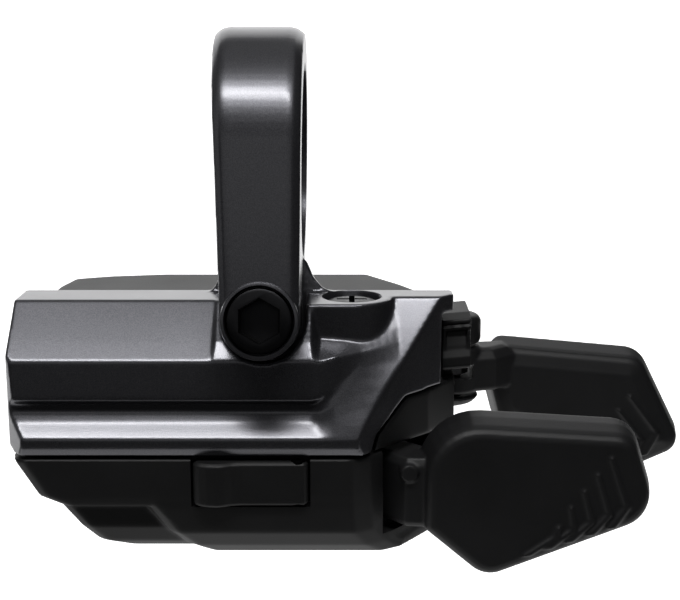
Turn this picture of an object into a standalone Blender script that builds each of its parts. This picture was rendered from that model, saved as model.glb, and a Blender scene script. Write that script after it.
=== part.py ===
"""Right-hand bicycle thumb shifter, an assembly of separate pieces.

The origin is the centre of the handlebar bore. +X points outboard along the bar, to the paddles,
+Y points forward, away from the rider, and +Z points up, along the axle of the levers and the drum.
Every length below is in millimetres and becomes metres when a mesh is made.
"""

from math import cos, pi, radians, sin, tan

import bmesh
import bpy
from mathutils import Matrix, Vector

MM = 0.001
GAP = 0.3                       # clearance between neighbouring pieces

# Handlebar clamp
BORE_RADIUS = 11.1              # takes a 22.2 mm bar
RING_RADIUS = 15.0
RING_WIDTH_TOP = 10.1
RING_WIDTH_LOW = 8.2
CLAMP_TILT = radians(-12)       # the clamp leans with its bolt
BOLT_DROP = 18.3                # from the bore's centre to the bolt's axis
BOLT_X = 0.6
EAR_FRONT = -15.0
SLOT = (-1.5, -0.7)             # the split beside the ear

# Bracket and housings
LEFT_END, RIGHT_END = -27.3, 21.6
TOP = -14.7
SEAM = -30.6                    # between the upper half and the base
FLOOR = -43.0
SIDE_OFFSET = 26.7              # the right-hand side face lies on x - y = this
BACK = 19.3
WALL = 1.5

SCREW_PLACE = (10.3, -6.2)      # of the bracket's own screw
RIGHT_WALL = 20.4               # under the top face's overhang

# Pivots
AXLE = (3.0, 5.5)
RELEASE_PIVOT = (23.3, 11.0)
DRIVE_PAWL_RADIUS = 16.0
DRIVE_PAWL_ANGLE = radians(-150)
HOLD_PAWL_PIVOT = (12.6, 15.9)
FLAP_PIVOT = (4.4, -15.1)
ADJUSTER = (14.0, -29.3)        # y and z of the cable's way in

# Heights on the axle, bottom and top
TOP_PLATE = (-23.9, -22.5)
AXLE_NUT = (-21.4, -19.6)
DRUM = (-31.3, -27.3)
RATCHET = (-33.2, -31.6)
LEVER_PLATE = (-35.2, -33.6)
LOWER_PLATE = (-40.0, -38.6)
RELEASE_PLATE = (-28.0, -26.8)
RELEASE_ARM = (-30.3, -24.4)

AXLE_RADIUS = 2.5
TIP_RADIUS = 12.0
TEETH = 24

COLOURS = {
    "grey_paint": ((0.060, 0.061, 0.068), 0.32, 0.85),
    "black_plastic": ((0.011, 0.011, 0.012), 0.45, 0.0),
    "black_steel": ((0.015, 0.015, 0.016), 0.35, 0.6),
    "plated_steel": ((0.55, 0.55, 0.56), 0.35, 1.0),
    "spring_steel": ((0.35, 0.35, 0.36), 0.3, 1.0),
    "bush_plastic": ((0.70, 0.69, 0.64), 0.5, 0.0),
    "brass_insert": ((0.55, 0.40, 0.16), 0.35, 1.0),
}

for old in list(bpy.data.objects):
    bpy.data.objects.remove(old, do_unlink=True)

parts = bpy.data.collections.new("thumb_shifter")
cutters = bpy.data.collections.new("cutters")
for group in (parts, cutters):
    bpy.context.scene.collection.children.link(group)


# ---------------------------------------------------------------- materials

def material(name):
    """The Principled material of that name, made at its first use."""
    found = bpy.data.materials.get(name)
    if found:
        return found
    colour, roughness, metallic = COLOURS[name]
    made = bpy.data.materials.new(name)
    made.use_nodes = True
    shader = made.node_tree.nodes["Principled BSDF"]
    shader.inputs["Base Color"].default_value = (*colour, 1)
    shader.inputs["Roughness"].default_value = roughness
    shader.inputs["Metallic"].default_value = metallic
    return made


# ---------------------------------------------------------------- shapes

def keep(obj, name, colour=None):
    """Name an object and put it among the parts, or among the cutters when it has no colour."""
    obj.name = name
    for owner in list(obj.users_collection):
        owner.objects.unlink(obj)
    if colour:
        parts.objects.link(obj)
        obj.data.materials.clear()
        obj.data.materials.append(material(colour))
    else:
        cutters.objects.link(obj)
        obj.hide_render = True
        obj.display_type = "WIRE"
    return obj


def from_bmesh(name, shape, colour=None):
    """An object from a finished bmesh in millimetres."""
    bmesh.ops.recalc_face_normals(shape, faces=shape.faces)
    bmesh.ops.scale(shape, vec=(MM, MM, MM), verts=shape.verts)
    mesh = bpy.data.meshes.new(name)
    shape.to_mesh(mesh)
    shape.free()
    obj = bpy.data.objects.new(name, mesh)
    return keep(obj, name, colour)


def arc(centre, radius, start, end, steps=8):
    """Points on an arc, angles in degrees."""
    turns = [radians(start + (end - start) * i / steps) for i in range(steps + 1)]
    return [(centre[0] + radius * cos(a), centre[1] + radius * sin(a)) for a in turns]


def rounded(corners, steps=5):
    """An outline from (x, z, radius) corners, each corner an arc."""
    outline = []
    for i, (x, z, radius) in enumerate(corners):
        here = Vector((x, z))
        back = (Vector(corners[i - 1][:2]) - here).normalized()
        on = (Vector(corners[(i + 1) % len(corners)][:2]) - here).normalized()
        half = back.angle(on) / 2
        middle = here + (back + on).normalized() * (radius / sin(half))
        first = here + back * (radius / tan(half)) - middle
        sweep = first.angle_signed(here + on * (radius / tan(half)) - middle)
        for step in range(steps + 1):
            turn = Matrix.Rotation(-sweep * step / steps, 2)
            outline.append(tuple(middle + turn @ first))
    return outline


def inset(outline, distance):
    """An outline, counter-clockwise, moved inwards by a distance."""
    moved = []
    for i, here in enumerate(outline):
        before, after = Vector(outline[i - 1]), Vector(outline[(i + 1) % len(outline)])
        here = Vector(here)
        first, second = (here - before).normalized(), (after - here).normalized()
        normal = Vector((-first.y, first.x)) + Vector((-second.y, second.x))
        normal.normalize()
        reach = distance / max(normal.dot(Vector((-first.y, first.x))), 0.3)
        moved.append(tuple(here + normal * reach))
    return moved


def plate(name, outline, bottom, top, colour=None):
    """A flat outline in plan, filled and thickened from bottom to top."""
    curve = bpy.data.curves.new(name, "CURVE")
    curve.dimensions = "2D"
    curve.fill_mode = "BOTH"
    curve.extrude = (top - bottom) / 2 * MM
    line = curve.splines.new("POLY")
    line.points.add(len(outline) - 1)
    for point, (x, y) in zip(line.points, outline):
        point.co = (x * MM, y * MM, 0, 1)
    line.use_cyclic_u = True
    flat = bpy.data.objects.new(name + "_outline", curve)
    bpy.context.scene.collection.objects.link(flat)
    flat.location.z = (top + bottom) / 2 * MM
    bpy.context.view_layer.update()
    graph = bpy.context.evaluated_depsgraph_get()
    mesh = bpy.data.meshes.new_from_object(flat.evaluated_get(graph))
    shape = bmesh.new()
    shape.from_mesh(mesh)
    bmesh.ops.remove_doubles(shape, verts=shape.verts, dist=0.001 * MM)
    bmesh.ops.recalc_face_normals(shape, faces=shape.faces)
    shape.to_mesh(mesh)
    shape.free()
    mesh.transform(flat.matrix_world)
    bpy.data.objects.remove(flat)
    mesh.name = name
    return keep(bpy.data.objects.new(name, mesh), name, colour)


def cylinder(name, radius, bottom, top, centre=(0, 0), colour=None, sides=32):
    """An upright round bar."""
    bpy.ops.mesh.primitive_cylinder_add(
        vertices=sides, radius=radius * MM, depth=(top - bottom) * MM,
        location=(centre[0] * MM, centre[1] * MM, (top + bottom) / 2 * MM))
    obj = bpy.context.object
    settle(obj)
    return keep(obj, name, colour)


def box(name, low, high, colour=None, bevel=0):
    """A box between two corners, its edges bevelled if asked."""
    middle = [(a + b) / 2 * MM for a, b in zip(low, high)]
    bpy.ops.mesh.primitive_cube_add(size=1, location=middle)
    obj = bpy.context.object
    obj.scale = [(b - a) * MM for a, b in zip(low, high)]
    settle(obj)
    if bevel:
        edge = obj.modifiers.new("edges", "BEVEL")
        edge.width = bevel * MM
        edge.segments = 2
    return keep(obj, name, colour)


def settle(obj):
    """Move an object's place, turn and scale into its mesh."""
    bpy.context.view_layer.update()
    obj.data.transform(obj.matrix_world)
    obj.matrix_world = Matrix()


def loft(name, sections, colour=None):
    """A solid through sections, each a list of the same number of 3-D points."""
    shape = bmesh.new()
    rings = [[shape.verts.new(point) for point in section] for section in sections]
    count = len(rings[0])
    for lower, upper in zip(rings, rings[1:]):
        for i in range(count):
            shape.faces.new((lower[i], lower[(i + 1) % count], upper[(i + 1) % count], upper[i]))
    shape.faces.new(rings[0])
    shape.faces.new(rings[-1])
    bmesh.ops.triangulate(shape, faces=shape.faces)
    return from_bmesh(name, shape, colour)


def turned(name, profile, centre, colour=None, steps=32):
    """A turned solid from (radius, height) points that run down its outer side.

    A profile that starts away from the axis is closed into a ring.
    """
    shape = bmesh.new()
    points = [shape.verts.new((radius, 0, height)) for radius, height in profile]
    if profile[0][0] > 0:
        points.append(points[0])
    for first, second in zip(points, points[1:]):
        shape.edges.new((first, second))
    bmesh.ops.scale(shape, vec=(MM, MM, MM), verts=shape.verts)
    mesh = bpy.data.meshes.new(name)
    shape.to_mesh(mesh)
    shape.free()
    obj = bpy.data.objects.new(name, mesh)
    obj.location = (centre[0] * MM, centre[1] * MM, 0)
    screw = obj.modifiers.new("turn", "SCREW")
    screw.steps = screw.render_steps = steps
    screw.use_merge_vertices = True
    screw.merge_threshold = 0.00001
    return keep(obj, name, colour)


def coil(name, radius, bottom, turns, wire, centre, colour, legs=()):
    """A torsion spring: a helix of round wire whose ends run on through the legs' points."""
    per_turn = 14
    points = []
    for i in range(int(turns * per_turn) + 1):
        angle = 2 * pi * i / per_turn
        rise = bottom + wire / 2 + (wire + 0.12) * i / per_turn
        points.append((centre[0] + radius * cos(angle), centre[1] + radius * sin(angle), rise))
    points += list(legs)
    curve = bpy.data.curves.new(name, "CURVE")
    curve.dimensions = "3D"
    curve.bevel_depth = wire / 2 * MM
    curve.bevel_resolution = 1
    curve.use_fill_caps = True
    line = curve.splines.new("POLY")
    line.points.add(len(points) - 1)
    for point, place in zip(line.points, points):
        point.co = (*(value * MM for value in place), 1)
    return keep(bpy.data.objects.new(name, curve), name, colour)


def tilt(obj):
    """Turn a clamp piece, built upright about the bore, to the clamp's lean."""
    obj.data.transform(Matrix.Rotation(CLAMP_TILT, 4, "X"))
    return obj


def along_y(obj, centre_x, centre_z):
    """Lay an upright round piece, made about the Z axis, along Y through a point."""
    obj.data.transform(Matrix.Rotation(radians(-90), 4, "X"))
    obj.data.transform(Matrix.Translation((centre_x * MM, 0, centre_z * MM)))
    return obj


def curtain(name, outline, front, back, colour=None):
    """An outline in x and z, thickened along Y from front to back."""
    return along_y(plate(name, [(x, -z) for x, z in outline], front, back, colour), 0, 0)


def combine(target, tool, operation):
    """Cut a tool out of an object, or join it on, and hide the tool."""
    step = target.modifiers.new(tool.name, "BOOLEAN")
    step.operation = operation
    step.solver = "EXACT"
    step.object = tool
    if tool.name not in cutters.objects:
        keep(tool, tool.name)
    return target


def cut(target, *tools):
    for tool in tools:
        combine(target, tool, "DIFFERENCE")


def join(target, *tools):
    for tool in tools:
        combine(target, tool, "UNION")


def pivot(name, place, *pieces):
    """An empty on a joint's axis that carries the moving pieces."""
    empty = bpy.data.objects.new(name, None)
    empty.location = [value * MM for value in place]
    empty.empty_display_size = 3 * MM
    parts.objects.link(empty)
    bpy.context.view_layer.update()
    for piece in pieces:
        piece.parent = empty
        piece.matrix_parent_inverse = empty.matrix_world.inverted()


def polar(centre, radius, angle):
    return (centre[0] + radius * cos(angle), centre[1] + radius * sin(angle))


# ---------------------------------------------------------------- bracket and clamp

# Outer front profiles (y, z), from the top face down to the seam, at the left and the right end
FRONT_LEFT = [(-2.3, TOP), (-8.0, TOP), (-14.0, -20.3), (-14.5, -24.6), (-13.6, -25.6),
              (-14.2, -26.9), (-16.0, -28.0), (-15.9, -29.3), (-15.5, SEAM)]
FRONT_RIGHT = [(-2.3, TOP), (-7.3, TOP), (-10.9, -20.3), (-13.5, -24.6), (-14.1, -25.6),
               (-14.9, -26.9), (-16.0, -28.2), (-15.9, -29.3), (-15.5, SEAM)]
INNER_LEFT = [(0.0, -16.4), (-7.3, -16.4), (-12.3, -21.0), (-12.0, -26.5),
              (-13.7, -28.9), (-13.9, SEAM - 1)]
INNER_RIGHT = [(0.0, -16.4), (-6.4, -16.4), (-9.2, -21.0), (-12.2, -26.5),
               (-13.7, -28.9), (-13.9, SEAM - 1)]
# The seam on the side face (x, z): the bracket lies above it and the upper housing below
SIDE_SEAM = [(12.3, -30.4), (12.9, -28.7), (16.1, -25.3), (26.0, -24.5)]


def along_x(profile, closing, x):
    """A section at x from a front profile and the points that close it at the back."""
    return [(x, y, z) for y, z in profile + closing]


def side_cutter(name, offset):
    """The space beyond the slanting right-hand side face."""
    outline = [(offset - 30, -30), (offset + 15, -30), (offset + 15, 15)]
    return plate(name, outline, FLOOR - 2, TOP + 5)


def clamp_ring():
    """The ring and its ear as one outline in y and z, tapered towards the bolt."""
    front, low, half = EAR_FRONT, -BOLT_DROP - RING_WIDTH_LOW / 2, RING_WIDTH_LOW / 2
    outline = arc((0, 0), RING_RADIUS, 264, 540, 60) + [(front, low), (SLOT[0] - 0.05, low)]
    ring = plate("ring", outline, -0.5, 0.5)
    ring.data.transform(Matrix(((0, 0, 1, 0), (1, 0, 0, 0), (0, 1, 0, 0), (0, 0, 0, 1))))
    for vertex in ring.data.vertices:
        fall = min((RING_RADIUS - vertex.co.z / MM) / (2 * RING_RADIUS), 1)
        width = RING_WIDTH_TOP + (RING_WIDTH_LOW - RING_WIDTH_TOP) * fall
        side = 1 if vertex.co.x > 0 else -1
        vertex.co.x = (BOLT_X * fall + side * width / 2) * MM
    corners = arc((BOLT_X, -BOLT_DROP), half, 180, 360, 24)
    corners = [(-9, -26), (-9, -BOLT_DROP)] + corners + [(11, -BOLT_DROP), (11, -26)]
    rounding = curtain("ear_rounding", corners, -20, SLOT[0] + 0.5)
    cut(ring, rounding)
    for piece in (ring, rounding):
        tilt(piece)
    return ring


def clamp_bracket():
    outer = loft("clamp_bracket", [
        along_x(FRONT_LEFT, [(-2.3, SEAM)], LEFT_END),
        along_x(FRONT_LEFT, [(-2.3, SEAM)], 4.0),
        along_x(FRONT_RIGHT, [(-2.3, SEAM)], 16.0),
        along_x(FRONT_RIGHT, [(-2.3, SEAM)], RIGHT_END)], "grey_paint")
    inner = loft("bracket_inside", [
        along_x(INNER_LEFT, [(0.0, SEAM - 1)], LEFT_END + WALL + 0.2),
        along_x(INNER_LEFT, [(0.0, SEAM - 1)], 4.0),
        along_x(INNER_RIGHT, [(0.0, SEAM - 1)], 16.0),
        along_x(INNER_RIGHT, [(0.0, SEAM - 1)], RIGHT_WALL - WALL)])
    cut(inner, side_cutter("inner_side", SIDE_OFFSET - 2.2))
    cut(outer, side_cutter("outer_side", SIDE_OFFSET), inner)

    below_seam = SIDE_SEAM + [(26.0, -33.0), (12.3, -33.0)]
    side = curtain("side_opening", below_seam, -20.0, -1.0)
    overhang = box("overhang", (RIGHT_WALL, -12, SEAM - 2), (RIGHT_END + 2, 0, -16.5))
    cut(outer, side, overhang)

    half = RING_WIDTH_LOW / 2
    pad = box("bolt_block", (-6.2, -13.0, -24.2), (7.4, 3.4, -15.0))
    leg = box("far_leg", (-4.6, -1.2, -21.9), (5.4, 5.4, -12.6))
    boss = cylinder("screw_boss", 3.9, -21.0, -15.2, SCREW_PLACE)
    notch = box("ear_notch", (BOLT_X - half - 0.6, -22, -22.9), (BOLT_X + half + 0.6, SLOT[1], -9))
    tilt(pad)
    tilt(leg)
    tilt(notch)
    trim = box("block_trim", (-9, 1.7, -30), (10, 9, -18.5))
    behind = box("pad_trim", (-9, -2.3, -31), (10, 9, -22.2))
    join(outer, pad, leg, boss)
    cut(outer, trim, behind, notch)
    join(outer, clamp_ring())
    bore = cylinder("bar_bore", BORE_RADIUS, -20, 20, sides=96)
    bore.data.transform(Matrix.Rotation(radians(90), 4, "Y"))
    slot = box("slot", (-12, SLOT[0], -22.8), (12, SLOT[1], -9))
    for piece in (bore, slot):
        tilt(piece)

    screw_seat = cylinder("screw_seat", 3.25, -17.0, -12, SCREW_PLACE)
    screw_hole = cylinder("screw_hole", 1.8, -24, -15, SCREW_PLACE)
    pocket = box("pocket", (5.9, -20, -19.4), (13.6, -10.3, -15.6), bevel=0.8)
    bolt_hole = along_y(cylinder("bolt_hole", 2.5, -25, 12), BOLT_X, -BOLT_DROP)
    head_seat = along_y(cylinder("head_seat", 3.75, -25, -12.6, sides=48), BOLT_X, -BOLT_DROP)
    nut_seat = along_y(cylinder("nut_seat", 3.2, 1.2, 12), BOLT_X, -BOLT_DROP)
    for piece in (bolt_hole, head_seat, nut_seat):
        tilt(piece)
    cut(outer, bore, slot, screw_seat, screw_hole, pocket, bolt_hole, head_seat, nut_seat)
    return outer


def clamp_bolt():
    bolt = cylinder("clamp_bolt", 3.45, -16.0, -12.9, colour="black_steel", sides=48)
    shank = cylinder("bolt_shank", 2.2, -13.2, 5.0)
    bpy.ops.mesh.primitive_cylinder_add(vertices=6, radius=2.0 / cos(pi / 6) * MM, depth=8 * MM,
                                        location=(0, 0, -17.6 * MM))
    socket = bpy.context.object
    settle(socket)
    keep(socket, "hex_socket")
    join(bolt, shank)
    cut(bolt, socket)
    for piece in (bolt, shank, socket):
        tilt(along_y(piece, BOLT_X, -BOLT_DROP))


def clamp_nut():
    insert = cylinder("clamp_nut", 2.9, 1.5, 4.9, colour="plated_steel")
    thread = cylinder("nut_thread", 2.5, -5, 15)
    cut(insert, thread)
    for piece in (insert, thread):
        tilt(along_y(piece, BOLT_X, -BOLT_DROP))


def bracket_screw():
    screw = cylinder("bracket_screw", 2.7, -16.7, -15.5, SCREW_PLACE, "black_steel")
    shank = cylinder("bracket_screw_shank", 1.4, -21.5, -16.2, SCREW_PLACE)
    x, y = SCREW_PLACE
    cross = box("cross_slot", (x - 1.4, y - 0.3, -16.1), (x + 1.4, y + 0.3, -14))
    cross_2 = box("cross_slot_2", (x - 0.3, y - 1.4, -16.1), (x + 0.3, y + 1.4, -14))
    join(screw, shank)
    cut(screw, cross, cross_2)


# ---------------------------------------------------------------- housings

def outline_at(left, front, right, back):
    """The housing in plan, counter-clockwise from the front left corner."""
    corner = front + SIDE_OFFSET - 0.3
    return [(left, front + 2.2), (left + 1.4, front), (corner, front), (right, right - SIDE_OFFSET + 0.3),
            (right, 6.2), (19.3, 6.9), (19.3, 13.5), (14.0, back), (left + 13.2, back),
            (left + 7.0, back - 1.3), (left + 1.8, back - 4.5), (left + 0.6, 8.0)]


def cable_way(name):
    """The round way through the left-hand wall for the adjuster's insert."""
    way = cylinder(name, 2.9, -40, -10)
    way.data.transform(Matrix.Rotation(radians(90), 4, "Y"))
    way.data.transform(Matrix.Translation((0, ADJUSTER[0] * MM, ADJUSTER[1] * MM)))
    return way


def upper_housing():
    """The black shell behind the bracket, with the lug that caps the release lever's pivot."""
    wide = [(LEFT_END + 0.6, -1.9), (RIGHT_WALL, -1.9), (RIGHT_WALL, 6.2), (19.3, 6.9), (19.3, 13.5),
            (14.0, BACK), (-14.0, BACK), (-20.0, 18.0), (-25.2, 14.8), (-26.4, 8.0)]
    shell = plate("upper_housing", wide, SEAM, -17.0, "black_plastic")
    side = plate("side_skirt", [(11.2, -15.2), (22.0, -4.4), (22.0, 6.2), (10.0, 6.2), (10.0, -13.5)],
                 SEAM, -24.9)
    above_seam = [(x + 0.35, z - 0.3) for x, z in SIDE_SEAM]
    above = curtain("above_side_seam", [(9.0, -10.0), (9.0, -33.0), (12.65, -33.0)] + above_seam
                    + [(26.35, -10.0)], -20.0, -2.1)
    cut(side, above)
    lug = cylinder("pivot_lug", 3.5, -24.1, -20.4, RELEASE_PIVOT)
    web = box("lug_web", (17.6, 8.6, -24.1), (RELEASE_PIVOT[0], 13.2, -20.9))
    join(shell, side, lug, web)
    inside = plate("upper_inside", inset(wide, WALL), SEAM - 1, -18.3)
    forward = plate("forward_inside", [(-25.2, -4.0), (18.7, -4.0), (18.7, 5.0), (-25.2, 5.0)],
                    SEAM - 1, -18.3)
    skirt = plate("skirt_inside", [(9.0, -20.0), (11.0, -13.3), (20.4, -3.9), (20.4, 4.6), (9.0, 4.6)],
                  SEAM - 1, -25.1)
    leg = box("leg_room", (-6.6, -4.0, -26), (7.8, 3.4, -14.0))
    tail = box("release_slot", (16.4, 5.4, -28.6), (21.0, 15.0, -26.2))
    hub = cylinder("hub_room", 4.0, SEAM - 2, RELEASE_ARM[1] + 0.3, RELEASE_PIVOT)
    pin = cylinder("release_pin_bore", 1.3, -36, -21.6, RELEASE_PIVOT, sides=24)
    cut(shell, inside, forward, skirt, leg, tail, hub, pin, cable_way("upper_cable_way"))
    return shell


def base_housing():
    """The tray below the seam: tapered sides, a slot for the main lever and the flap's pocket."""
    levels = [(SEAM - GAP, LEFT_END + 0.5, -15.5, 22.0, BACK), (-36.2, -24.6, -15.2, 22.0, BACK),
              (-37.4, -22.0, -15.0, 22.0, BACK), (-41.4, -18.3, -14.2, 21.0, BACK - 0.6),
              (-42.5, -15.9, -12.8, 19.9, BACK - 1.6), (FLOOR, -15.2, -12.2, 19.5, BACK - 2)]
    sections = [[(x, y, z) for x, y in outline_at(left, front, right, back)]
                for z, left, front, right, back in levels]
    base = loft("base_housing", sections, "black_plastic")
    room = [(z, left, front, right, back) for z, left, front, right, back in levels[:4]]
    inner = []
    for z, left, front, right, back in room:
        outline = inset(outline_at(left, front, right, back), WALL)
        inner.append([(x, y, z + (1 if z > -31 else 0)) for x, y in outline])
    hollow = loft("base_inside", inner)
    lug = cylinder("lower_lug", 3.5, -32.6, SEAM - 0.1, RELEASE_PIVOT)
    lug_web = box("lower_lug_web", (18.4, 8.8, -32.6), (RELEASE_PIVOT[0], 13.0, SEAM - 0.1))
    thick = box("port_block", (-9.0, -15.0, -38.5), (8.0, -12.2, SEAM - GAP))
    cut(base, hollow)
    join(base, lug, lug_web, thick)
    sweep = arc(AXLE, 30.0, -62, -15, 10) + [polar(AXLE, 12.6, radians(-15)), polar(AXLE, 12.6, radians(-62))]
    slot = plate("lever_slot", sweep, -40.5, SEAM + 2)
    pocket = box("flap_pocket", (-7.4, -20.0, -36.6), (5.9, -13.6, SEAM + 2))
    flap_hole = cylinder("flap_pin_hole", 0.8, -38.0, SEAM, FLAP_PIVOT, sides=16)
    port = along_y(cylinder("cable_port", 1.9, -20, -11), -1.0, -33.6)
    pin = cylinder("release_pin_hole", 1.3, -36, SEAM + 2, RELEASE_PIVOT, sides=24)
    cut(base, slot, pocket, flap_hole, port, pin, cable_way("base_cable_way"))
    for i, place in enumerate(SCREW_PLACES):
        cut(base, cylinder(f"screw_way_{i}", 1.3, -45, -38, place, sides=20),
            cylinder(f"screw_sink_{i}", 2.3, -45, -42.2, place, sides=20))
    return base


SCREW_PLACES = [(-9.0, -5.0), (-7.0, 13.0), (10.0, 12.5)]


def base_screws():
    for i, place in enumerate(SCREW_PLACES):
        screw = cylinder(f"base_screw_{i + 1}", 1.9, -42.9, -42.4, place, "black_steel", sides=20)
        shank = cylinder(f"base_screw_shank_{i}", 0.95, -42.6, LOWER_PLATE[1] + 0.3, place, sides=16)
        join(screw, shank)


def lever_guide():
    """The ribbed block on the right-hand end."""
    block = box("lever_guide", (20.7, -4.4, -24.5), (24.2, 3.6, -18.0), "black_plastic", bevel=0.5)
    for i, height in enumerate((-19.6, -21.6)):
        groove = box(f"guide_groove_{i}", (23.4, -6, height - 0.35), (25, 6, height + 0.35))
        cut(block, groove)
        groove.data.transform(Matrix.Rotation(radians(4), 4, "Y"))


def cable_port_flap():
    """The small door over the cable's end, hinged at its right-hand end."""
    x, y = FLAP_PIVOT
    outline = [(-7.0, y + 1.15), (-7.0, y - 0.9), (-6.4, y - 1.15)] + arc(FLAP_PIVOT, 1.15, -90, 90, 8)
    flap = plate("cable_port_flap", outline, -36.3, SEAM - GAP - 0.3, "black_plastic")
    pin_hole = cylinder("flap_bore", 0.8, -40, -28, FLAP_PIVOT, sides=16)
    cut(flap, pin_hole)
    cylinder("flap_pin", 0.5, -37.7, SEAM - 0.4, FLAP_PIVOT, "plated_steel", sides=16)
    pivot("flap_axis", (x, y, -33.6), flap)


# ---------------------------------------------------------------- mechanism

def axle_parts():
    axle = turned("main_axle", [(0, -19.4), (AXLE_RADIUS, -19.4), (AXLE_RADIUS, -40.3), (4.6, -40.3),
                                (4.6, -41.0), (0, -41.0)], AXLE, "plated_steel")
    bpy.ops.mesh.primitive_cylinder_add(
        vertices=6, radius=4.0 * MM, depth=(AXLE_NUT[1] - AXLE_NUT[0]) * MM,
        location=(AXLE[0] * MM, AXLE[1] * MM, sum(AXLE_NUT) / 2 * MM))
    nut = bpy.context.object
    settle(nut)
    keep(nut, "axle_nut", "plated_steel")
    cut(nut, cylinder("nut_bore", AXLE_RADIUS + GAP, -30, -10, AXLE))
    turned("spring_washer", [(AXLE_RADIUS + GAP, -21.7), (3.9, -21.7), (3.9, -22.2),
                             (AXLE_RADIUS + GAP, -22.2)], AXLE, "spring_steel")
    return axle


def support_plates():
    top = plate("top_plate", [(-16.0, 2.4), (14.5, 2.4), (14.5, 12.0), (9.0, 15.0), (-10.0, 15.0),
                              (-16.0, 9.0)], *TOP_PLATE, "plated_steel")
    cut(top, cylinder("top_plate_bore", AXLE_RADIUS + GAP, -30, -10, AXLE))
    low = plate("lower_plate", [(-11.5, -7.5), (-6.0, -7.5), (3.0, -4.5), (7.5, -1.0), (12.5, 9.0),
                                (12.5, 15.0), (-9.5, 15.5), (-14.0, 8.0)], *LOWER_PLATE, "plated_steel")
    cut(low, cylinder("low_plate_bore", AXLE_RADIUS + GAP, -45, -30, AXLE))
    for i, place in enumerate(SCREW_PLACES):
        cut(low, cylinder(f"plate_thread_{i}", 1.3, -45, -35, place, sides=20))


def drum_parts():
    low, high = DRUM
    drum = turned("cable_drum", [(4.3, high), (11.6, high), (11.6, high - 1.2), (10.4, high - 2.0),
                                 (11.6, high - 2.8), (11.6, low), (4.3, low)],
                  AXLE, "black_plastic", steps=48)
    rim = []
    for tooth in range(TEETH):
        start = 360 / TEETH * tooth
        rim += arc(AXLE, TIP_RADIUS, start, start + 4, 1)
        rim.append(polar(AXLE, TIP_RADIUS - 1.3, radians(start + 6)))
    ratchet = plate("ratchet_plate", rim, *RATCHET, "plated_steel")
    cut(ratchet, cylinder("ratchet_bore", 4.3, -50, -10, AXLE))
    bush = turned("drum_bush", [(AXLE_RADIUS + GAP, high), (4.0, high), (4.0, RATCHET[0]),
                                (AXLE_RADIUS + GAP, RATCHET[0])],
                  AXLE, "bush_plastic")
    pivot("drum_axis", (*AXLE, high), drum, ratchet, bush)
    coil("drum_spring", 6.2, TOP_PLATE[0] - 3.1, 2.2, 0.9, AXLE, "spring_steel")
    coil("main_lever_spring", 5.2, LEVER_PLATE[0] - 3.1, 2.2, 0.9, AXLE, "spring_steel")


def pawl(name, place, tip, level, colour="plated_steel"):
    """A pawl from its pivot to its tip, with a bore for its pin."""
    direction = Vector(tip) - Vector(place)
    facing = direction.to_2d().angle_signed(Vector((1, 0)))
    turn = facing * 180 / pi
    side = Vector((-direction.y, direction.x)).normalized() * 0.55
    outline = arc(place, 1.5, turn + 60, turn + 300, 12)
    outline += [tuple(Vector(tip) - side), tuple(Vector(tip) + side)]
    piece = plate(name, outline, *level, colour)
    cut(piece, cylinder(name + "_bore", 1.0, level[0] - 2, level[1] + 2, place, sides=20))
    return piece


def main_lever():
    """Steel plate on the axle, the drive pawl on it, and the paddle moulded over its end."""
    angle = radians(-50.5)
    hub = arc(AXLE, 6.5, 0, 100, 8)
    pawl_place = polar(AXLE, DRIVE_PAWL_RADIUS, DRIVE_PAWL_ANGLE)
    left = [polar(AXLE, 8.0, DRIVE_PAWL_ANGLE - 0.7)]
    left += arc(pawl_place, 2.2, 110, 300, 8) + [polar(AXLE, 9.0, DRIVE_PAWL_ANGLE + 0.6)]
    tang = [polar(AXLE, 8.0, angle - 0.55), polar(AXLE, 13.0, angle - 0.16), polar(AXLE, 18.5, angle - 0.11),
            polar(AXLE, 18.5, angle + 0.11), polar(AXLE, 13.0, angle + 0.16), polar(AXLE, 7.2, angle + 0.6)]
    steel = plate("main_lever_plate", hub + left + tang, *LEVER_PLATE, "plated_steel")
    cut(steel, cylinder("lever_bore", AXLE_RADIUS + GAP, -50, -20, AXLE))
    pin_hole = cylinder("drive_pin_hole", 1.0, -50, -20, pawl_place, sides=20)
    cut(steel, pin_hole)
    pin = cylinder("drive_pawl_pin", 0.7, LEVER_PLATE[0] - 0.4, RATCHET[1] + 0.5, pawl_place,
                   "plated_steel", sides=20)
    paddle = main_paddle()
    room = plate("tang_room", [polar(AXLE, 11.0, angle - 0.35), polar(AXLE, 18.9, angle - 0.15),
                               polar(AXLE, 18.9, angle + 0.15), polar(AXLE, 11.0, angle + 0.35)],
                 LEVER_PLATE[0] - GAP, LEVER_PLATE[1] + GAP)
    cut(paddle, room)
    tip = polar(AXLE, TIP_RADIUS + 1.4, DRIVE_PAWL_ANGLE + 0.42)
    drive = pawl("drive_pawl", pawl_place, tip, RATCHET)
    pivot("main_lever_axis", (*AXLE, LEVER_PLATE[1]), steel, pin, paddle)
    pivot("drive_pawl_axis", (*pawl_place, RATCHET[1]), drive)


def slab(name, outline, front, back, colour=None, edge=0.0):
    """An upright slab from an (x, z) outline, its two faces drawn in by the edge."""
    middle_x = sum(x for x, z in outline) / len(outline)
    middle_z = sum(z for x, z in outline) / len(outline)

    def ring(y, pull):
        points = []
        for x, z in outline:
            reach = Vector((x - middle_x, z - middle_z))
            reach = reach * (1 - pull / reach.length)
            points.append((middle_x + reach.x, y, middle_z + reach.y))
        return points
    rings = [ring(front, edge), ring(front + edge, 0), ring(back - edge, 0), ring(back, edge)]
    return loft(name, rings, colour)


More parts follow.
